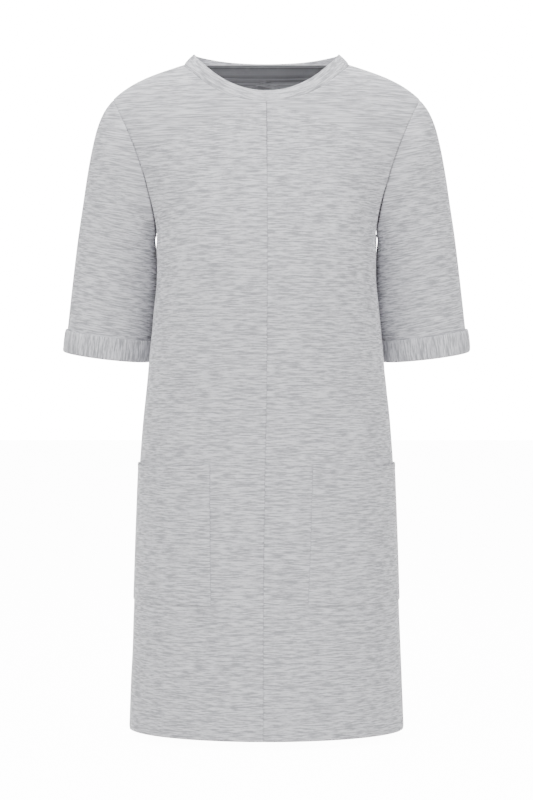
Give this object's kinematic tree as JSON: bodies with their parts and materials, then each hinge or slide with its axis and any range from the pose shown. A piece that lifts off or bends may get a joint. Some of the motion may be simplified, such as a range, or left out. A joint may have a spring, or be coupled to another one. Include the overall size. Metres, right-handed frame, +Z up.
{
  "type": "t-shirt dress",
  "caption": "Straight t-shirt dress in pale grey marl jersey, filled out with no wearer, with turned-up cuffs, a folded neckband and patch pockets set into the side seams",
  "frame": {"origin": "middle of the neck opening, level with the points where the shoulder seams meet the neckband, which is where the wearer's shoulders hold the dress up", "axes": "+Z up, the front faces -Y, +X is the wearer's left"},
  "size_m": [0.5374, 0.259, 0.8827],
  "materials": {
    "front_right": "soft matt pale grey marl jersey",
    "front_left": "soft matt pale grey marl jersey",
    "back": "soft matt pale grey marl jersey",
    "sleeve_right": "soft matt pale grey marl jersey",
    "sleeve_left": "soft matt pale grey marl jersey",
    "cuff_right": "soft matt pale grey marl jersey",
    "cuff_left": "soft matt pale grey marl jersey",
    "neckband": "soft matt pale grey marl jersey",
    "back_neck_tape": "soft matt pale grey marl jersey",
    "pocket_right": "soft matt pale grey marl jersey",
    "pocket_left": "soft matt pale grey marl jersey"
  },
  "bodies": {
    "root": {"front_right": "front_right", "front_left": "front_left", "back": "back", "sleeve_right": "sleeve_right", "sleeve_left": "sleeve_left", "cuff_right": "cuff_right", "cuff_left": "cuff_left", "neckband": "neckband", "back_neck_tape": "back_neck_tape", "pocket_right": "pocket_right", "pocket_left": "pocket_left"}
  },
  "joints": []
}
